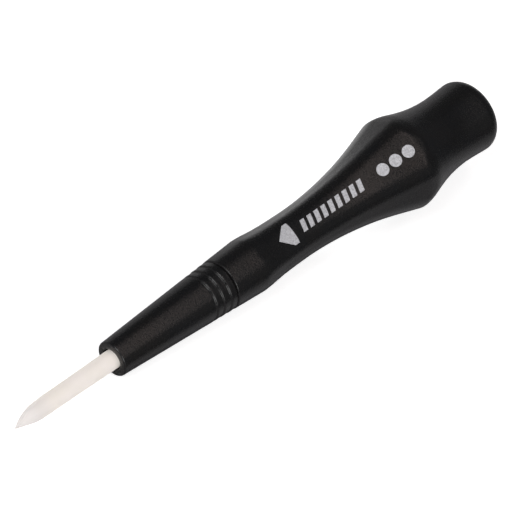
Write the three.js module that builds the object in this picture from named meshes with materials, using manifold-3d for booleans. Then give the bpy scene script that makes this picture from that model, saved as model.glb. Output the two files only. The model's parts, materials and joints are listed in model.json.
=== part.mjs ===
// Spudger: a round ivory blade with a bevelled point, pressed into a moulded black plastic handle.
// Millimetres, +Z up. The tool lies on its bench as it does when it is put down: on one facet of the
// grip's bulge and on the lower edge of its nose, with the printed facet up and the tip towards -X.
// Every piece is built about its own long axis, +X, with x = 0 at the nose face and the tail at
// x = HANDLE_LENGTH, and the finished tool is then pitched and set down as one group.

import * as THREE from "three";
import { mergeVertices } from "three/addons/utils/BufferGeometryUtils.js";
import Module from "manifold-3d";

const wasm = await Module();
wasm.setup();

// Handle, driving dimensions
const HANDLE_LENGTH = 105.6;
const NOSE_RADIUS = 3.82;
const NOSE_CHAMFER = 0.3;
const BODY_RADIUS = 5.98; // the plain round part, behind the rings
const BODY_END = 38; // where the cone ends and the facets begin
const KNOB_RADIUS = 7.99;
const TAIL_ROUNDING = 2.9;

// Turned outline of the grip, across the rounded corners of its facets: station and radius
const GRIP_OUTLINE = [
  [39, 5.95],
  [41, 5.78],
  [44, 5.51],
  [50, 5.35], // the neck
  [56, 5.48],
  [62, 6.03],
  [68, 6.98],
  [74, 8.36],
  [79, 9.81],
  [82, 10.44], // the crest of the bulge
  [85, 9.72],
  [88, 8.83],
  [92, 8.03],
  [96, 7.71], // the waist
  [101.6, 7.93],
  [HANDLE_LENGTH - TAIL_ROUNDING, KNOB_RADIUS],
];

// Finger rings turned into the cone
const GROOVE_COUNT = 4;
const FIRST_GROOVE = 24.1;
const GROOVE_PITCH = 1.87;
const GROOVE_DEPTH = 0.32;
const LAST_GROOVE_DEPTH = 0.5;
const GROOVE_FRONT = 0.24; // from the groove's floor forward to the surface
const GROOVE_BACK = 0.42; // and back to the crown of the next ring

// Facets of the grip
const FACET_COUNT = 6;
const LAND_STATION = 81.6; // where a facet levels out into the land that the tool lies on
const LAND_HALF_FLATS = 9.93;
const LAND_LENGTH = 3; // more than is left of it once the rear slope has cut it off
const CUTTER_CLEARANCE = 0.15; // over the round body, where the cutters must not touch it
const CUTTER_REACH = 14; // half the size of the facet cutters, more than any radius

// One facet along the grip: station and half the width across flats
const FACET_OUTLINE = [
  [40, 5.75],
  [44, 5.4],
  [50, 5.22], // the neck
  [56, 5.36],
  [62, 5.87],
  [68, 6.74],
  [72, 7.53],
  [76, 8.5],
  [80, 9.52],
  [LAND_STATION, LAND_HALF_FLATS],
];

// Blade and its socket
const BLADE_RADIUS = 2.0;
const BLADE_EXPOSED = 26;
const BLADE_TANG = 24; // the length held inside the handle
const TANG_CHAMFER = 0.4;
const SOCKET_GAP = 0.06; // between tang and socket, all round
const SOCKET_END_GAP = 0.5;
const MOUTH_RADIUS = 2.3;
const MOUTH_DEPTH = 3;

// Turned outline of the exposed blade, from its tip: station and radius
const BLADE_OUTLINE = [
  [-BLADE_EXPOSED, 0.61],
  [-23.5, 1.25],
  [-21.4, 1.76],
  [-20.4, 1.88],
  [-19, 1.91],
  [-14, 1.93],
  [-4, BLADE_RADIUS],
];

// The bevel on one side of the point, slightly hollow: station and height over the blade's axis
const BEVEL_OUTLINE = [
  [-27, -0.8],
  [-BLADE_EXPOSED, -0.45],
  [-24.6, 0.12],
  [-23.3, 0.75],
  [-21.45, 1.34],
  [-18.8, 1.77],
  [-17.4, 1.95],
  [-15, 2.3],
];
const BEVEL_ROLL = THREE.MathUtils.degToRad(15); // how far the bevel is turned up towards +Z
const BEVEL_CUTTER_REACH = 6; // past the blade's side, on every side of it

// Fineness of the round surfaces
const ROUND_SEGMENTS = 48;
const BLADE_SEGMENTS = 32;
const STEPS_PER_SPAN = 3;
const ROUNDING_STEPS = 5;

// The nose's lower edge and the land of a facet lie on one line, which is the bench.
const BENCH_SLOPE = (LAND_HALF_FLATS - NOSE_RADIUS) / LAND_STATION;

const point = (x, r) => new THREE.Vector2(x, r);

// A smooth curve through the given stations, as points.
function smooth(stations) {
  const points = stations.map(([x, y]) => point(x, y));
  return new THREE.SplineCurve(points).getPoints((points.length - 1) * STEPS_PER_SPAN);
}

// A solid of revolution about +X. The outline is (x, radius) and starts and ends on the axis.
function turned(outline, segments) {
  const profile = outline.map((p) => new THREE.Vector2(p.y, p.x));
  const geometry = new THREE.LatheGeometry(profile, segments);
  geometry.rotateZ(-Math.PI / 2);
  return geometry;
}

// A prism on the given outline in X and Y, of the given depth, with its middle at z = 0.
function extruded(outline, depth) {
  const prism = new THREE.ExtrudeGeometry(new THREE.Shape(outline), { depth, bevelEnabled: false });
  prism.translate(0, 0, -depth / 2);
  return prism;
}

function solid(geometry) {
  const bare = geometry.clone();
  bare.deleteAttribute("normal");
  bare.deleteAttribute("uv");
  const merged = mergeVertices(bare, 1e-4);
  return new wasm.Manifold(
    new wasm.Mesh({
      numProp: 3,
      vertProperties: new Float32Array(merged.attributes.position.array),
      triVerts: new Uint32Array(merged.index.array),
    }),
  );
}

function geometryOf(manifold) {
  const mesh = manifold.getMesh();
  const geometry = new THREE.BufferGeometry();
  geometry.setAttribute("position", new THREE.BufferAttribute(mesh.vertProperties, 3));
  geometry.setIndex(new THREE.BufferAttribute(mesh.triVerts, 1));
  geometry.computeVertexNormals();
  return geometry;
}

function coneRadius(x) {
  return NOSE_RADIUS + ((BODY_RADIUS - NOSE_RADIUS) * x) / BODY_END;
}

// Each groove drops steeply behind one ring and rises in a round shoulder to the crown of the next.
function grooveOutline() {
  const outline = [];
  for (let i = 0; i < GROOVE_COUNT; i += 1) {
    const x = FIRST_GROOVE + i * GROOVE_PITCH;
    const last = i === GROOVE_COUNT - 1;
    const depth = last ? LAST_GROOVE_DEPTH : GROOVE_DEPTH;
    const floor = coneRadius(x) - depth;
    outline.push(point(x - GROOVE_FRONT, coneRadius(x) - depth / 3));
    outline.push(point(x, floor));
    outline.push(point(x + GROOVE_BACK / 2, coneRadius(x) - depth / 4));
    outline.push(point(x + GROOVE_BACK, coneRadius(x + GROOVE_BACK)));
  }
  return outline;
}

// The rounding between the knob and the flat tail face, a quarter circle.
function tailOutline() {
  const arc = [];
  for (let i = 1; i <= ROUNDING_STEPS; i += 1) {
    const angle = (i / ROUNDING_STEPS) * (Math.PI / 2);
    arc.push(
      point(
        HANDLE_LENGTH - TAIL_ROUNDING * (1 - Math.sin(angle)),
        KNOB_RADIUS - TAIL_ROUNDING * (1 - Math.cos(angle)),
      ),
    );
  }
  return arc;
}

function handleOutline() {
  const coneEnd = BODY_END - 1;
  return [
    point(0, 0),
    point(0, NOSE_RADIUS - NOSE_CHAMFER),
    point(NOSE_CHAMFER, coneRadius(NOSE_CHAMFER)),
    ...grooveOutline(),
    ...smooth([[coneEnd, coneRadius(coneEnd)], ...GRIP_OUTLINE]),
    ...tailOutline(),
    point(HANDLE_LENGTH, 0),
  ];
}

// A slab whose upper and lower sides are one pair of opposite facets. It is wider than the handle,
// and deeper than it outside the grip, so that it only cuts where the facets are.
function facetPair(turn) {
  const bodyTop = BODY_RADIUS + CUTTER_CLEARANCE;
  const landEnd = LAND_STATION + LAND_LENGTH;
  const upper = [
    point(-1, bodyTop),
    ...smooth([[BODY_END - 0.4, bodyTop], ...FACET_OUTLINE]),
    point(landEnd, NOSE_RADIUS + BENCH_SLOPE * landEnd),
    point(landEnd + 1, CUTTER_REACH),
    point(HANDLE_LENGTH + 1, CUTTER_REACH),
  ];
  const lower = upper.map((p) => point(p.x, -p.y)).reverse();
  const slab = extruded([...upper, ...lower], 2 * CUTTER_REACH);
  slab.rotateX(Math.PI / 2 + turn);
  return slab;
}

function socketOutline() {
  const radius = BLADE_RADIUS + SOCKET_GAP;
  return [
    point(-1, 0),
    point(-1, MOUTH_RADIUS),
    point(MOUTH_DEPTH - (MOUTH_RADIUS - radius), MOUTH_RADIUS),
    point(MOUTH_DEPTH, radius),
    point(BLADE_TANG + SOCKET_END_GAP, radius),
    point(BLADE_TANG + SOCKET_END_GAP, 0),
  ];
}

function handleGeometry() {
  let handle = solid(turned(handleOutline(), ROUND_SEGMENTS));
  for (let i = 0; i < FACET_COUNT / 2; i += 1) {
    handle = handle.intersect(solid(facetPair((i * Math.PI) / (FACET_COUNT / 2))));
  }
  handle = handle.subtract(solid(turned(socketOutline(), ROUND_SEGMENTS)));
  return geometryOf(handle);
}

function bladeOutline() {
  return [
    point(-BLADE_EXPOSED, 0),
    ...smooth(BLADE_OUTLINE),
    point(BLADE_TANG - TANG_CHAMFER, BLADE_RADIUS),
    point(BLADE_TANG, BLADE_RADIUS - TANG_CHAMFER),
    point(BLADE_TANG, 0),
  ];
}

// What is ground off the point: everything beyond the bevel, on the side that BEVEL_ROLL turns to.
function bevelCutter() {
  const bevel = smooth(BEVEL_OUTLINE);
  const last = bevel[bevel.length - 1];
  const outline = [...bevel, point(last.x, BEVEL_CUTTER_REACH), point(bevel[0].x, BEVEL_CUTTER_REACH)];
  const cutter = extruded(outline, 2 * BEVEL_CUTTER_REACH);
  cutter.rotateX(BEVEL_ROLL);
  return cutter;
}

function bladeGeometry() {
  const round = solid(turned(bladeOutline(), BLADE_SEGMENTS));
  return geometryOf(round.subtract(solid(bevelCutter())));
}

function piece(name, geometry, material) {
  const mesh = new THREE.Mesh(geometry, new THREE.MeshStandardMaterial(material));
  mesh.name = name;
  return mesh;
}

const tool = new THREE.Group();
tool.add(piece("handle", handleGeometry(), { color: 0x1d1c1d, roughness: 0.48, metalness: 0 }));
tool.add(piece("blade", bladeGeometry(), { color: 0xece4d6, roughness: 0.42, metalness: 0 }));

// Set down on the bench: pitched until nose and land touch it, then moved to the middle of its box.
tool.rotation.y = -Math.atan(BENCH_SLOPE);
tool.updateMatrixWorld(true);
const box = new THREE.Box3().setFromObject(tool, true);
const middle = box.getCenter(new THREE.Vector3());
tool.position.set(-middle.x, -middle.y, -box.min.z);

const spudger = new THREE.Group();
spudger.add(tool);

export default spudger;
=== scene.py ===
"""Spudger: a round ivory blade pressed into a black plastic handle, lying on a pale studio table.

Both pieces are lofted here in fine mesh from the sizes of the CAD model, in metres, and one facet of the
grip carries a film of pale ink. Everything is built about the tool's own long axis: x runs from the nose
face (0) to the tail, and the angle round the axis is 0 at the printed facet and grows towards the row's
-Y. The record's tail mount says where that axis lies in the row frame.
"""

import json
import math
import bmesh
import bpy
from mathutils import Matrix, Vector


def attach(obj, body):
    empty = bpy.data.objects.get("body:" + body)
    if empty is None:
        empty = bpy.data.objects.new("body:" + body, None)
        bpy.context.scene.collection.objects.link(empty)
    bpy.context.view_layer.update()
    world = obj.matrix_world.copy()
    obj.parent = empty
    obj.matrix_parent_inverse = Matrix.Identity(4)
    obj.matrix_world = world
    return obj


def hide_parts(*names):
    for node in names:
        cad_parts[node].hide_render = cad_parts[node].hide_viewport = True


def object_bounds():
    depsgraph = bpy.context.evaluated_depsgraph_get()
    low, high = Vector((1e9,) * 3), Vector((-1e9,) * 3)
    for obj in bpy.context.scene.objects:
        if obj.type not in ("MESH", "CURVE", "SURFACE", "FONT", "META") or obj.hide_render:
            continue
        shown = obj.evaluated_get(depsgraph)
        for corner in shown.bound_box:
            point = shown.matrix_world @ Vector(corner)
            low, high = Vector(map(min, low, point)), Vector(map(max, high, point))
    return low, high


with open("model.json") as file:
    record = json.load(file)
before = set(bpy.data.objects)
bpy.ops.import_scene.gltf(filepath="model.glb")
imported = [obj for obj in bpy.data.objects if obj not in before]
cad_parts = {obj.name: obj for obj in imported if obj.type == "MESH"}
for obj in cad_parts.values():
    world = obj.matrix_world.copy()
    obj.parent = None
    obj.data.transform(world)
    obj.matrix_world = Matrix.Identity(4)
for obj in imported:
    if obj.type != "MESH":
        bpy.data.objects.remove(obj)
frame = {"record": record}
cad_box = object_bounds()

MM = 0.001
BODY = "root"

# Handle, as in the CAD model
HANDLE_LENGTH = 105.6 * MM
NOSE_RADIUS = 3.82 * MM
BODY_RADIUS = 5.98 * MM
BODY_END = 38 * MM
KNOB_RADIUS = 7.99 * MM
TAIL_ROUNDING = 2.9 * MM
MOUTH_RADIUS = 2.3 * MM
MOUTH_DEPTH = 3 * MM
SOCKET_RADIUS = 2.06 * MM
SOCKET_DEPTH = 24.5 * MM

# Small shapes that the CAD model has in a simpler form or not at all
NOSE_ROUNDING = 0.35 * MM
NOSE_WIDENING = 0.02 * MM  # what the cone has gained by the end of that rounding
MOUTH_CHAMFER = 0.2 * MM
MOUTH_LIP = ((0.3, 0), (0.06, 0.02), (0, 0.09))  # depth under the nose face, widening: millimetres
TAIL_DISC_DISH = 0.12 * MM
DISH_EDGE = 0.9  # share of the tail disc's radius
DISH_SHARES = (0.86, 0.6, 0.3, 0.1)

# Finger rings
GROOVE_COUNT = 4
FIRST_GROOVE = 24.1 * MM
GROOVE_PITCH = 1.87 * MM
GROOVE_DEPTH = 0.32 * MM
LAST_GROOVE_DEPTH = 0.5 * MM
GROOVE_FRONT = 0.24 * MM
GROOVE_BACK = 0.42 * MM
RING_FALL = 0.08 * MM  # how far a ring's crown sinks towards the next groove

# Facets and their edges
FACETS_REACH = 3 * MM  # in front of the cone's end, and no further, they may touch it
FRONT_BLEND = 0.16 * MM  # where a facet runs out into the round body
REAR_EDGE_AT_FACET = 0.35 * MM  # rounding of the bulge's rear edge, behind a facet's middle
REAR_EDGE_GAIN = 0.6 * MM  # what that rounding gains behind a corner
CORNER_START = 0.1  # the gain sets in at this angle from the facet's middle, in radians
CORNER_FULL = 0.5

# Blade
BLADE_RADIUS = 2.0 * MM
BLADE_EXPOSED = 26 * MM
BLADE_TANG = 24 * MM
TANG_CHAMFER = 0.4 * MM
BEVEL_ROLL = math.radians(15)  # how far the bevel is turned up from the row's +Y
BEVEL_EDGE = 0.1 * MM  # rounding of its edge
TIP_ROUNDING = ((0, 0.06), (0.02, 0.14))  # distance behind the tip, radius: millimetres

# Fineness
ROUND_STEPS = 216
BLADE_STEPS = 96
NOSE_ROUNDING_STEPS = 6
TAIL_ROUNDING_STEPS = 12
CONE_STATION_STEP = 1.2 * MM
RING_STATION_STEP = 0.06 * MM
GRIP_STATION_STEP = 0.35 * MM
HIDDEN_STATION_STEP = 4 * MM
POINT_STATION_STEP = 0.1 * MM
ROD_STATION_STEP = 0.8 * MM
FIRST_CONE_STATION = 0.4 * MM  # behind the nose's rounding
FIRST_POINT_STATION = 0.08 * MM  # behind the tip
POINT_END = -17 * MM  # where the blade's plain rod begins


def smoothstep(low, high, value):
    t = min(max((value - low) / (high - low), 0.0), 1.0)
    return t * t * (3 - 2 * t)


def soft_min(a, b, width):
    """The smaller of a and b, with a fillet of about that width where they meet."""
    h = max(width - abs(a - b), 0.0) / width
    return min(a, b) - h * h * width / 4


def through(*stations):
    """A smooth curve through (x, value) stations given in millimetres, as a function in metres."""
    xs = [s[0] * MM for s in stations]
    ys = [s[1] * MM for s in stations]
    slopes = []
    for i in range(len(xs)):
        a, b = max(i - 1, 0), min(i + 1, len(xs) - 1)
        slopes.append((ys[b] - ys[a]) / (xs[b] - xs[a]))

    def value(x):
        if x <= xs[0]:
            return ys[0] + slopes[0] * (x - xs[0])
        if x >= xs[-1]:
            return ys[-1] + slopes[-1] * (x - xs[-1])
        i = max(k for k in range(len(xs) - 1) if xs[k] <= x)
        span = xs[i + 1] - xs[i]
        t = (x - xs[i]) / span
        rise = ys[i + 1] - ys[i]
        m0, m1 = slopes[i] * span, slopes[i + 1] * span
        return ys[i] + m0 * t + (3 * rise - 2 * m0 - m1) * t * t + (m0 + m1 - 2 * rise) * t ** 3

    return value


# The grip's shape: half its width across flats, the rounding of its corners, the round envelope that
# the facets are cut into, and the turned rear slope, waist and knob.
half_flats = through((36, 6.25), (38, 5.98), (40, 5.75), (44, 5.4), (50, 5.22), (53, 5.24), (56, 5.36),
                     (59, 5.57), (62, 5.87), (65, 6.27), (68, 6.74), (71, 7.32), (74, 8.0), (76, 8.5),
                     (80, 9.52), (81.6, 9.9), (83, 10.03), (84.5, 10.14), (90, 10.6))
corner_rounding = through((38, 4.6), (44, 4.4), (50, 4.4), (56, 4.6), (62, 4.8), (68, 5.2), (76, 5.8),
                          (83, 6.0), (90, 6.2))
front_envelope = through((38, 5.98), (40, 5.89), (42, 5.71), (44, 5.56), (47, 5.46), (50, 5.5),
                         (54, 5.9), (60, 7), (70, 10), (80, 14))
rear_envelope = through((70, 15), (78, 12.0), (82, 10.66), (84.5, 9.86), (87, 9.1), (90, 8.36),
                        (93, 7.9), (96, 7.71), (99, 7.77), (101.6, 7.93), (103, 8.0))
SECTOR = math.pi / 3  # one facet's share of the turn


def cone_radius(x):
    return NOSE_RADIUS + (BODY_RADIUS - NOSE_RADIUS) * x / BODY_END


def groove_cut(x):
    """How far the surface lies under the cone at x, in and between the grooves."""
    cut = 0.0
    for i in range(GROOVE_COUNT):
        last = i == GROOVE_COUNT - 1
        depth = LAST_GROOVE_DEPTH if last else GROOVE_DEPTH
        away = x - (FIRST_GROOVE + i * GROOVE_PITCH)
        front = smoothstep(-GROOVE_FRONT, 0, away)
        back = 1 - smoothstep(0, GROOVE_BACK, away)
        cut = max(cut, depth * min(front, back))
        if not last and away < GROOVE_PITCH:
            cut = max(cut, RING_FALL * smoothstep(GROOVE_BACK, GROOVE_PITCH - GROOVE_FRONT, away))
    return cut


def from_facet_middle(angle):
    """The angle to the middle of the nearest facet."""
    return abs((angle + SECTOR / 2) % SECTOR - SECTOR / 2)


def hexagon(flats, rounding, angle):
    """Polar radius of a hexagon with rounded corners and a facet's middle at angle 0."""
    off = from_facet_middle(angle)
    centre = (flats - rounding) / math.cos(SECTOR / 2)
    half_flat = (flats - rounding) * math.tan(SECTOR / 2)
    if off <= math.atan2(half_flat, flats):
        return flats / math.cos(off)
    beside = SECTOR / 2 - off
    return centre * math.cos(beside) + math.sqrt(rounding ** 2 - (centre * math.sin(beside)) ** 2)


def rear_edge_rounding(angle):
    """Rounding of the edge between bulge and rear slope: crisp behind a facet's middle, softer at corners."""
    share = smoothstep(CORNER_START, CORNER_FULL, from_facet_middle(angle))
    return REAR_EDGE_AT_FACET + REAR_EDGE_GAIN * share


def handle_radius(x, angle):
    """Radius of the handle's side, from the end of the nose's rounding to the start of the tail's."""
    if x < BODY_END - FACETS_REACH:
        return cone_radius(x) - groove_cut(x)
    radius = hexagon(half_flats(x), corner_rounding(x), angle)
    front = cone_radius(x) if x < BODY_END else front_envelope(x)
    radius = soft_min(radius, front, FRONT_BLEND)
    return soft_min(radius, rear_envelope(x), rear_edge_rounding(angle))


tail_mount = next(m for m in frame["record"]["mounts"] if m["name"] == "tail_face")
TOOL_AXIS = Vector(tail_mount["axis"]).normalized()
TOOL_SIDE = Vector((0, -1, 0))
TOOL_UP = TOOL_SIDE.cross(TOOL_AXIS)
NOSE_CENTRE = Vector(tail_mount["pos_m"]) - TOOL_AXIS * HANDLE_LENGTH


def place(x, radius, angle):
    """A point of the tool in the row frame."""
    outward = TOOL_UP * math.cos(angle) + TOOL_SIDE * math.sin(angle)
    return NOSE_CENTRE + TOOL_AXIS * x + outward * radius


def steps(start, stop, step):
    count = max(int(round((stop - start) / step)), 1)
    return [start + (stop - start) * i / count for i in range(count + 1)]


def add_object(name, mesh, material):
    made = bpy.data.objects.new(name, mesh)
    bpy.context.collection.objects.link(made)
    mesh.materials.append(material)
    return made


def loft(name, rings, count, material):
    """A closed mesh from rings of points round the tool's axis. Each ring is a function of the angle."""
    mesh = bpy.data.meshes.new(name)
    work = bmesh.new()
    angles = [2 * math.pi * i / count for i in range(count)]
    loops = [[work.verts.new(ring(a)) for a in angles] for ring in rings]
    for before, after in zip(loops, loops[1:]):
        for i in range(count):
            j = (i + 1) % count
            work.faces.new((before[i], before[j], after[j], after[i]))
    for loop in (loops[0], loops[-1]):
        centre = sum((v.co for v in loop), Vector()) / count
        hub = work.verts.new(centre)
        for i in range(count):
            work.faces.new((loop[i], loop[(i + 1) % count], hub))
    bmesh.ops.recalc_face_normals(work, faces=work.faces)
    for face in work.faces:
        face.smooth = True
    work.to_mesh(mesh)
    work.free()
    return add_object(name, mesh, material)


def round_ring(x, radius):
    return lambda angle: place(x, radius, angle)


def side_ring(x):
    return lambda angle: place(x, handle_radius(x, angle), angle)


def socket_rings():
    """From the middle of the socket's floor to the lip of its mouth in the nose face."""
    rings = [round_ring(SOCKET_DEPTH, SOCKET_RADIUS * share) for share in (0.4, 0.8, 1.0)]
    for x in reversed(steps(MOUTH_DEPTH, SOCKET_DEPTH, HIDDEN_STATION_STEP)[:-1]):
        rings.append(round_ring(x, SOCKET_RADIUS))
    rings.append(round_ring(MOUTH_DEPTH - MOUTH_CHAMFER, MOUTH_RADIUS))
    for depth, wider in MOUTH_LIP:
        rings.append(round_ring(depth * MM, MOUTH_RADIUS + wider * MM))
    return rings


def nose_rings():
    face_edge = NOSE_RADIUS - NOSE_ROUNDING
    rings = [round_ring(0, (MOUTH_RADIUS + face_edge) / 2)]
    for i in range(NOSE_ROUNDING_STEPS + 1):
        turn = math.pi / 2 * i / NOSE_ROUNDING_STEPS
        x = NOSE_ROUNDING * (1 - math.cos(turn))
        radius = face_edge + NOSE_ROUNDING * math.sin(turn) + NOSE_WIDENING * i / NOSE_ROUNDING_STEPS
        rings.append(round_ring(x, radius))
    return rings


def side_rings():
    grooves_start = FIRST_GROOVE - GROOVE_PITCH / 2
    grooves_end = FIRST_GROOVE + GROOVE_PITCH * GROOVE_COUNT
    stations = steps(NOSE_ROUNDING + FIRST_CONE_STATION, grooves_start, CONE_STATION_STEP)
    stations += steps(grooves_start, grooves_end, RING_STATION_STEP)[1:]
    stations += steps(grooves_end, HANDLE_LENGTH - TAIL_ROUNDING, GRIP_STATION_STEP)[1:]
    return [side_ring(x) for x in stations]


def tail_rings():
    disc = KNOB_RADIUS - TAIL_ROUNDING
    rings = []
    for i in range(1, TAIL_ROUNDING_STEPS + 1):
        turn = math.pi / 2 * i / TAIL_ROUNDING_STEPS
        x = HANDLE_LENGTH - TAIL_ROUNDING * (1 - math.sin(turn))
        rings.append(round_ring(x, disc + TAIL_ROUNDING * math.cos(turn)))
    rings.append(round_ring(HANDLE_LENGTH, disc * DISH_EDGE))
    for share in DISH_SHARES:
        rings.append(round_ring(HANDLE_LENGTH - TAIL_DISC_DISH, disc * share))
    return rings


# The blade's side, drawn in to a round point, and the long bevel ground off one side of it.
blade_radius = through((-26, 0.61), (-23.5, 1.25), (-21.4, 1.76), (-20.4, 1.88), (-19, 1.91),
                       (-14, 1.93), (-4, 2.0), (0, 2.0))
bevel_height = through((-26, -0.58), (-25.2, -0.2), (-24.6, 0.12), (-23.3, 0.75), (-21.45, 1.34),
                       (-18.8, 1.77), (-17.4, 1.95), (-15, 2.3))


def bevelled(x, radius, angle):
    """A point of the blade's side, pushed back to the flat of the bevel where it stands out of it."""
    across = radius * math.cos(angle + math.pi / 2 - BEVEL_ROLL)
    along = radius * math.sin(angle + math.pi / 2 - BEVEL_ROLL)
    across = soft_min(across, bevel_height(x), BEVEL_EDGE)
    outward = TOOL_UP * math.sin(BEVEL_ROLL) - TOOL_SIDE * math.cos(BEVEL_ROLL)
    tangent = TOOL_UP * math.cos(BEVEL_ROLL) + TOOL_SIDE * math.sin(BEVEL_ROLL)
    return NOSE_CENTRE + TOOL_AXIS * x + outward * across + tangent * along


def blade_ring(x, radius):
    return lambda angle: bevelled(x, radius, angle)


def blade_rings():
    rings = [blade_ring(-BLADE_EXPOSED + behind * MM, radius * MM) for behind, radius in TIP_ROUNDING]
    stations = steps(-BLADE_EXPOSED + FIRST_POINT_STATION, POINT_END, POINT_STATION_STEP)
    stations += steps(POINT_END, 0, ROD_STATION_STEP)[1:]
    rings += [blade_ring(x, blade_radius(x)) for x in stations]
    for x in steps(0, BLADE_TANG - TANG_CHAMFER, HIDDEN_STATION_STEP)[1:]:
        rings.append(blade_ring(x, BLADE_RADIUS))
    rings.append(blade_ring(BLADE_TANG, BLADE_RADIUS - TANG_CHAMFER))
    return rings


# Pale ink on the printed facet: plain shapes that stand for nothing. Each is an outline of points
# (x, across) in millimetres, laid on the plastic and thickened into a closed film.
INK_THICKNESS = 0.03 * MM
INK_ROOT = 0.05 * MM  # how far the film reaches into the plastic
INK_STEP = 0.4 * MM
ARROW = [(43.9, 0), (46.9, -2.6), (48.1, -2.6), (48.1, 2.6), (46.9, 2.6)]
BAR_COUNT = 9
BAR_START = 50.2
BAR_PITCH = 1.96
BAR_WIDTH = 1.15
BAR_SLANT = 0.7
BAR_HALF_HEIGHT = 1.25
DOT_STATIONS = (72.8, 76.1, 79.4)
DOT_RADIUS = 1.35
DOT_SIDES = 28


def ink_outlines():
    outlines = [ARROW]
    for i in range(BAR_COUNT):
        x = BAR_START + i * BAR_PITCH
        outlines.append([(x + BAR_SLANT, -BAR_HALF_HEIGHT), (x + BAR_SLANT + BAR_WIDTH, -BAR_HALF_HEIGHT),
                         (x + BAR_WIDTH, BAR_HALF_HEIGHT), (x, BAR_HALF_HEIGHT)])
    turns = [2 * math.pi * i / DOT_SIDES for i in range(DOT_SIDES)]
    for station in DOT_STATIONS:
        outlines.append([(station + DOT_RADIUS * math.cos(t), DOT_RADIUS * math.sin(t)) for t in turns])
    return outlines


def on_facet(x, across, lift):
    """A point over the printed facet, at that height above the plastic."""
    angle = math.atan2(across, half_flats(x))
    return place(x, handle_radius(x, angle) + lift, angle)


def ink_film(work, outline):
    """One closed film, cut both ways into small cells so that it follows the facet's curves."""
    flat = bmesh.new()
    flat.faces.new([flat.verts.new((x * MM, y * MM, 0)) for x, y in outline])
    for axis, normal in ((0, Vector((1, 0, 0))), (1, Vector((0, 1, 0)))):
        first = min(p[axis] for p in outline) * MM
        last = max(p[axis] for p in outline) * MM
        for cut in steps(first, last, INK_STEP)[1:-1]:
            bmesh.ops.bisect_plane(flat, geom=flat.verts[:] + flat.edges[:] + flat.faces[:],
                                   plane_co=normal * cut, plane_no=normal)
    border = [e for e in flat.edges if len(e.link_faces) == 1]
    top, root = {}, {}
    for v in flat.verts:
        top[v] = work.verts.new(on_facet(v.co.x, v.co.y, INK_THICKNESS))
        root[v] = work.verts.new(on_facet(v.co.x, v.co.y, -INK_ROOT))
    for face in flat.faces:
        work.faces.new([top[v] for v in face.verts])
        work.faces.new([root[v] for v in reversed(face.verts)])
    for edge in border:
        a, b = edge.verts
        work.faces.new((top[a], top[b], root[b], root[a]))
    flat.free()


# Materials. A noise scale counts per metre, so that the plastic's grain is about half a millimetre.
BLACK = (0.0036, 0.0036, 0.0042)
BLACK_HANDLED = (0.0048, 0.0041, 0.0038)
BLACK_SPECK = (0.0062, 0.0055, 0.0053)
IVORY = (0.95, 0.885, 0.835)
IVORY_CLOUD = (0.92, 0.86, 0.79)
IVORY_WORN = (0.8, 0.755, 0.73)
INK = (0.60, 0.60, 0.63)
INK_THIN = (0.30, 0.30, 0.31)
TABLE = (0.86, 0.86, 0.86)
TABLE_CLOUD = (0.9, 0.9, 0.9)
WORN_TIP_START = -57 * MM  # in the row frame's x
WORN_TIP_END = -61.5 * MM
DRAWING_STRETCH = 0.04  # lengthwise scale of the rod's noise, which makes lines of it


def new_material(name):
    made = bpy.data.materials.new(name)
    made.use_nodes = True
    nodes, links = made.node_tree.nodes, made.node_tree.links
    return made, nodes, links, nodes["Principled BSDF"]


def noise(nodes, links, coords, scale, detail=3, roughness=0.5):
    node = nodes.new("ShaderNodeTexNoise")
    node.inputs["Scale"].default_value = scale
    node.inputs["Detail"].default_value = detail
    node.inputs["Roughness"].default_value = roughness
    links.new(coords, node.inputs["Vector"])
    return node.outputs["Fac"]


def remap(nodes, links, value, from_low, from_high, to_low, to_high):
    node = nodes.new("ShaderNodeMapRange")
    node.inputs["From Min"].default_value = from_low
    node.inputs["From Max"].default_value = from_high
    node.inputs["To Min"].default_value = to_low
    node.inputs["To Max"].default_value = to_high
    links.new(value, node.inputs["Value"])
    return node.outputs["Result"]


def mix_colour(nodes, links, factor, first, second):
    """A mix of two colours, each either a tuple or the output of another node."""
    node = nodes.new("ShaderNodeMix")
    node.data_type = "RGBA"
    for socket, value in (("A", first), ("B", second)):
        target = next(s for s in node.inputs if s.name == socket and s.type == "RGBA")
        if isinstance(value, tuple):
            target.default_value = (*value, 1)
        else:
            links.new(value, target)
    links.new(factor, next(s for s in node.inputs if s.name == "Factor" and s.type == "VALUE"))
    return next(s for s in node.outputs if s.type == "RGBA")


def bump(nodes, links, height, distance, strength):
    node = nodes.new("ShaderNodeBump")
    node.inputs["Distance"].default_value = distance
    node.inputs["Strength"].default_value = strength
    links.new(height, node.inputs["Height"])
    return node.outputs["Normal"]


def black_plastic():
    """Moulded black plastic with a fine spark-eroded grain, a little browner where it is handled."""
    made, nodes, links, shader = new_material("black_grained_plastic")
    coords = nodes.new("ShaderNodeTexCoord").outputs["Object"]
    patches = noise(nodes, links, coords, scale=160)
    grain = noise(nodes, links, coords, scale=2000, detail=4, roughness=0.7)
    speck = noise(nodes, links, coords, scale=1700)
    handled = remap(nodes, links, patches, 0.35, 0.7, 0, 1)
    specked = remap(nodes, links, speck, 0.45, 0.75, 0, 1)
    tone = mix_colour(nodes, links, handled, BLACK, BLACK_HANDLED)
    tone = mix_colour(nodes, links, specked, tone, BLACK_SPECK)
    links.new(tone, shader.inputs["Base Color"])
    links.new(remap(nodes, links, grain, 0.35, 0.65, 0.14, 0.3), shader.inputs["Roughness"])
    shader.inputs["Specular IOR Level"].default_value = 0.4
    links.new(bump(nodes, links, grain, distance=0.08 * MM, strength=0.6), shader.inputs["Normal"])
    return made


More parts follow.
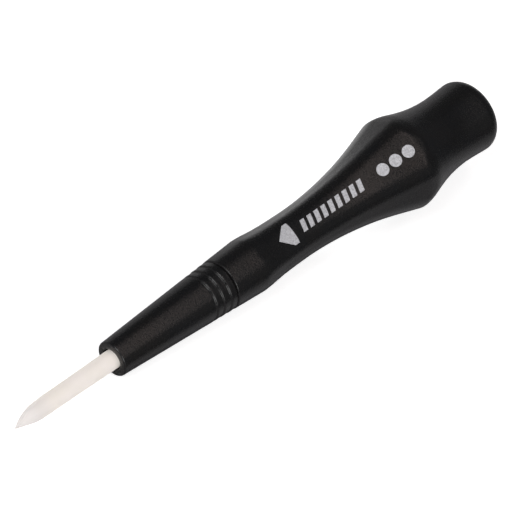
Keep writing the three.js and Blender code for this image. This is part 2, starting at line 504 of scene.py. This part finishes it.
def ivory_plastic():
    """Drawn ivory rod: satin, with faint lengthwise drawing lines, a little greyer at its worn tip."""
    made, nodes, links, shader = new_material("ivory_rod_plastic")
    coords = nodes.new("ShaderNodeTexCoord").outputs["Object"]
    stretch = nodes.new("ShaderNodeMapping")
    stretch.inputs["Scale"].default_value = (DRAWING_STRETCH, 1, 1)
    links.new(coords, stretch.inputs["Vector"])
    lines = noise(nodes, links, stretch.outputs["Vector"], scale=5200, detail=2)
    cloud = noise(nodes, links, coords, scale=260)
    clouded = remap(nodes, links, cloud, 0.3, 0.7, 0, 1)
    tone = mix_colour(nodes, links, clouded, IVORY, IVORY_CLOUD)
    axes = nodes.new("ShaderNodeSeparateXYZ")
    links.new(coords, axes.inputs["Vector"])
    worn = remap(nodes, links, axes.outputs["X"], WORN_TIP_START, WORN_TIP_END, 0, 1)
    tone = mix_colour(nodes, links, worn, tone, IVORY_WORN)
    links.new(tone, shader.inputs["Base Color"])
    links.new(remap(nodes, links, lines, 0.3, 0.7, 0.38, 0.52), shader.inputs["Roughness"])
    links.new(bump(nodes, links, lines, distance=0.02 * MM, strength=0.25), shader.inputs["Normal"])
    return made


def pale_ink():
    """Pad-printed ink: off-white, thin enough for the plastic's grain to break it up a little."""
    made, nodes, links, shader = new_material("pale_ink")
    coords = nodes.new("ShaderNodeTexCoord").outputs["Object"]
    wear = noise(nodes, links, coords, scale=3200)
    thinned = remap(nodes, links, wear, 0.35, 0.75, 0, 1)
    tone = mix_colour(nodes, links, thinned, INK, INK_THIN)
    links.new(tone, shader.inputs["Base Color"])
    links.new(remap(nodes, links, wear, 0.3, 0.7, 0.45, 0.6), shader.inputs["Roughness"])
    links.new(bump(nodes, links, wear, distance=0.01 * MM, strength=0.3), shader.inputs["Normal"])
    return made


def build_handle():
    rings = socket_rings() + nose_rings() + side_rings() + tail_rings()
    made = loft("handle_moulding", rings, ROUND_STEPS, black_plastic())
    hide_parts("handle")
    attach(made, BODY)


def build_blade():
    made = loft("blade_rod", blade_rings(), BLADE_STEPS, ivory_plastic())
    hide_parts("blade")
    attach(made, BODY)


def build_print():
    mesh = bpy.data.meshes.new("grip_print")
    work = bmesh.new()
    for outline in ink_outlines():
        ink_film(work, outline)
    bmesh.ops.recalc_face_normals(work, faces=work.faces)
    work.to_mesh(mesh)
    work.free()
    made = add_object("grip_print", mesh, pale_ink())
    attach(made, BODY)


build_handle()
build_blade()
build_print()


# The table. It shines a little itself, so that it stays white, and a soft pool of light is painted on it as a
# glow behind the grip. Mirror images see it painted darker, and darkest in a painted contact shadow beside
# the tool.
FLOOR_HALF_SIZE = 1.5
FLOOR_GAP = 0.06 * MM  # under the tool
TABLE_FILL = 0.62  # strength of its own light, everywhere
# Painted light: a pool of glow on the table, brightest at this centre and gone at this reach.
GLOW_CENTRE = (33 * MM, 24 * MM, 0)
GLOW_STRENGTH = 1.05
GLOW_REACH = 34 * MM
# Painted shade: the table's colour in mirror images, darker than where it is seen directly, with a painted
# shadow strip in it.
MIRRORED_SHADED_TONE = (0.47, 0.47, 0.48)
PAINTED_SHADOW_TONE = (0.16, 0.16, 0.17)
SHADOW_Y = -8 * MM  # the shadow is a strip along the tool, this far to its side
SHADOW_CORE = 1.5 * MM  # half the width of its darkest part
SHADOW_REACH = 7 * MM


def distance(nodes, links, coords, centre):
    node = nodes.new("ShaderNodeVectorMath")
    node.operation = "DISTANCE"
    node.inputs[1].default_value = centre
    links.new(coords, node.inputs[0])
    return node.outputs["Value"]


def pale_floor():
    made, nodes, links, shader = new_material("pale_table")
    coords = nodes.new("ShaderNodeTexCoord").outputs["Object"]
    mirrored = nodes.new("ShaderNodeLightPath").outputs["Is Glossy Ray"]
    cloud = noise(nodes, links, coords, scale=6, detail=2)
    tone = mix_colour(nodes, links, cloud, TABLE, TABLE_CLOUD)
    across = nodes.new("ShaderNodeMapping")
    across.inputs["Scale"].default_value = (0, 1, 0)
    links.new(coords, across.inputs["Vector"])
    # Painted shadow: in mirror images the table is painted darker still in a strip along the tool's side.
    beside = distance(nodes, links, across.outputs["Vector"], (0, SHADOW_Y, 0))
    outside_painted_shadow = remap(nodes, links, beside, SHADOW_CORE, SHADOW_REACH, 0, 1)
    mirrored_painted_shade = mix_colour(nodes, links, outside_painted_shadow, PAINTED_SHADOW_TONE, MIRRORED_SHADED_TONE)
    links.new(mix_colour(nodes, links, mirrored, tone, mirrored_painted_shade), shader.inputs["Base Color"])
    shader.inputs["Roughness"].default_value = 0.8
    shader.inputs["Specular IOR Level"].default_value = 0.0
    shader.inputs["Emission Color"].default_value = (1, 1, 1, 1)
    # Painted pool of light: the table glows more the nearer it is to the glow's centre.
    away = distance(nodes, links, coords, GLOW_CENTRE)
    strength = nodes.new("ShaderNodeMath")
    links.new(remap(nodes, links, away, 0, GLOW_REACH, GLOW_STRENGTH, 0), strength.inputs[0])
    links.new(remap(nodes, links, mirrored, 0, 1, TABLE_FILL, 0), strength.inputs[1])
    links.new(strength.outputs["Value"], shader.inputs["Emission Strength"])
    return made


def build_floor():
    half = FLOOR_HALF_SIZE
    mesh = bpy.data.meshes.new("floor")
    corners = [(-half, -half, 0), (half, -half, 0), (half, half, 0), (-half, half, 0)]
    mesh.from_pydata(corners, [], [(0, 1, 2, 3)])
    floor = add_object("floor", mesh, pale_floor())
    floor.location.z = cad_box[0][2] - FLOOR_GAP


build_floor()


def softbox(name, location, target, width, height, radiance, colour=(1, 1, 1)):
    """An area light whose power is worked out from the radiance that its face should show."""
    data = bpy.data.lights.new(name, "AREA")
    data.shape = "RECTANGLE"
    data.size, data.size_y = width, height
    data.energy = radiance * math.pi * width * height
    data.color = colour
    lamp = bpy.data.objects.new(name, data)
    lamp.location = location
    lamp.rotation_euler = (Vector(target) - Vector(location)).to_track_quat("-Z", "Y").to_euler()
    bpy.context.collection.objects.link(lamp)
    lamp.visible_camera = False


# The two lamps in front light the table and the rod. The others show mirrored in the black plastic: the
# overhead panel and strip along the cone and the printed facet, the forward panel at the round body and
# the neck, the side fill on the lower side, and the rear sweep on the waist and the knob.
softbox("front_key", (-0.60, 0.32, 0.64), (0, 0, 0), 0.5, 0.5, 6.3)
softbox("front_fill", (-0.62, -0.50, 0.45), (0, 0, 0), 0.5, 0.5, 4.9)
softbox("overhead_panel", (0.145, 0, 0.60), (0.111, 0, 0), 0.72, 0.23, 0.24, (1, 0.93, 0.91))
softbox("overhead_strip", (0.122, 0.08, 0.61), (0.088, 0.08, 0), 1.05, 0.07, 2.4, (1, 0.83, 0.77))
softbox("forward_panel", (0.34, 0.05, 0.58), (0.07, 0.05, 0), 0.9, 0.16, 0.13, (0.85, 0.93, 1))
softbox("side_fill", (0.12, -0.62, 0.6), (0, 0, 0), 1.0, 0.75, 0.12)
softbox("rear_sweep", (0.66, 0, 0.42), (0.04, 0, 0.01), 0.6, 0.28, 0.07, (1, 0.9, 0.94))

ROOM_COLOUR = (0.9, 0.95, 1, 1)
ROOM_LIGHT = 0.12  # its strength as a light; where it is looked at directly, the strength is 1


def build_room():
    world = bpy.data.worlds.new("studio")
    world.use_nodes = True
    nodes, links = world.node_tree.nodes, world.node_tree.links
    nodes["Background"].inputs["Color"].default_value = ROOM_COLOUR
    seen = nodes.new("ShaderNodeLightPath").outputs["Is Camera Ray"]
    links.new(remap(nodes, links, seen, 0, 1, ROOM_LIGHT, 1), nodes["Background"].inputs["Strength"])
    bpy.context.scene.world = world
    bpy.context.scene.view_settings.view_transform = "Standard"


build_room()

# Camera: from in front of the tip, looking down along the tool, rolled so that it lies diagonally.
CAMERA_DISTANCE = 798.6 * MM
HALF_PICTURE = 0.06375  # half the picture's width, as a share of the distance
TIP_TOWARDS_CAMERA = math.radians(32.5)
CAMERA_SWING = math.radians(5)  # round the tool's axis, from its printed facet towards its side
PICTURE_ROLL = math.radians(34.4)
AIM_STATION = 40.84 * MM
AIM_ASIDE = -1.02 * MM


def build_camera():
    over = TOOL_UP * math.cos(CAMERA_SWING) + TOOL_SIDE * math.sin(CAMERA_SWING)
    aside = TOOL_SIDE * math.cos(CAMERA_SWING) - TOOL_UP * math.sin(CAMERA_SWING)
    backward = over * math.cos(TIP_TOWARDS_CAMERA) - TOOL_AXIS * math.sin(TIP_TOWARDS_CAMERA)
    lengthwise = TOOL_AXIS * math.cos(TIP_TOWARDS_CAMERA) + over * math.sin(TIP_TOWARDS_CAMERA)
    right = lengthwise * math.cos(PICTURE_ROLL) + aside * math.sin(PICTURE_ROLL)
    up = lengthwise * math.sin(PICTURE_ROLL) - aside * math.cos(PICTURE_ROLL)
    aim = NOSE_CENTRE + TOOL_AXIS * AIM_STATION + aside * AIM_ASIDE
    data = bpy.data.cameras.new("camera")
    data.angle = 2 * math.atan(HALF_PICTURE)
    data.clip_start = 0.01
    camera = bpy.data.objects.new("camera", data)
    turn = Matrix((right, up, backward)).transposed()
    camera.matrix_world = Matrix.Translation(aim + backward * CAMERA_DISTANCE) @ turn.to_4x4()
    bpy.context.collection.objects.link(camera)
    bpy.context.scene.camera = camera


build_camera()
